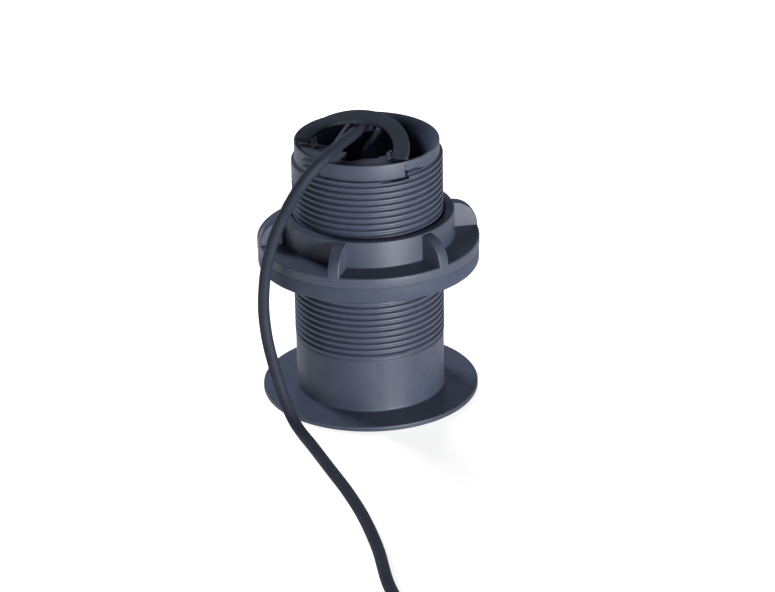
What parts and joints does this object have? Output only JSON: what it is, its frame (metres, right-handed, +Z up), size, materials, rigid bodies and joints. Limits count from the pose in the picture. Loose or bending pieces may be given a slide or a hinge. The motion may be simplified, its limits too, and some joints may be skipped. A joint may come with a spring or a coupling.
{
  "type": "sonar transducer",
  "caption": "Low-profile plastic thru-hull sonar transducer: flanged threaded stem, hull nut with fins, flat washer, insert with pull ring, and a coiled cable with its plug.",
  "frame": {"origin": "centre of the flange's lower face, which stands on the floor", "axes": "+Z up along the stem toward its open mouth, -Y toward the viewer of the picture, +X to the viewer's right"},
  "size_m": [0.0864, 0.3107, 0.1002],
  "materials": {
    "housing_plastic": "smooth moulded, satin",
    "nut_plastic": "smooth moulded, satin",
    "washer_rubber": "dull moulded rubber",
    "seal_rubber": "dull black rubber",
    "window_resin": "cast resin, satin",
    "silvered_ceramic": "silver-coated ceramic",
    "cork": "pressed cork grain",
    "backing_foam": "fine closed-cell foam",
    "potting_resin": "poured black resin",
    "cable_jacket": "smooth flexible jacket, satin",
    "red_insulation": "thin wire insulation",
    "black_insulation": "thin wire insulation",
    "tie_plastic": "moulded nylon",
    "contact_brass": "plated contact metal"
  },
  "bodies": {
    "stem": {"housing": "housing_plastic", "insert_shell": "housing_plastic", "acoustic_window": "window_resin", "piezo_disc": "silvered_ceramic", "cork_liner": "cork", "backing_pad": "backing_foam", "potting_fill": "potting_resin", "head_gasket": "seal_rubber", "insert_head": "housing_plastic", "o_ring_lower": "seal_rubber", "o_ring_upper": "seal_rubber", "lead_wire_a": "red_insulation", "lead_wire_b": "black_insulation", "cable_boot": "seal_rubber", "cable_lead": "cable_jacket", "cable_coil": "cable_jacket", "cable_tail": "cable_jacket", "cable_tie_a": "tie_plastic", "cable_tie_b": "tie_plastic", "plug_body": "cable_jacket", "plug_boot": "seal_rubber", "plug_carrier": "tie_plastic", "plug_seal": "seal_rubber", "contact_pin_1": "contact_brass", "contact_pin_2": "contact_brass", "contact_pin_3": "contact_brass", "contact_pin_4": "contact_brass"},
    "washer": {"hull_washer": "washer_rubber"},
    "nut": {"hull_nut": "nut_plastic"},
    "ring": {"pull_ring": "nut_plastic"}
  },
  "joints": [
    {"name": "nut_travel", "type": "slide", "parent": "stem", "child": "washer", "axis": [0, 0, 1], "range_m": [-0.02845, 0]},
    {"name": "nut_spin", "type": "hinge", "parent": "washer", "child": "nut", "pos_m": [0, 0, 0.055], "axis": [0, 0, 1], "range_deg": [-4680, 0]},
    {"name": "pull_ring_hinge", "type": "hinge", "parent": "stem", "child": "ring", "pos_m": [-0.00501, -0.01141, 0.0924], "axis": [0.8988, -0.4384, 0], "range_deg": [0, 112]}
  ],
  "couplings": [
    {"joint": "nut_travel", "follows": "nut_spin", "m_per_rad": 0.00034807}
  ]
}
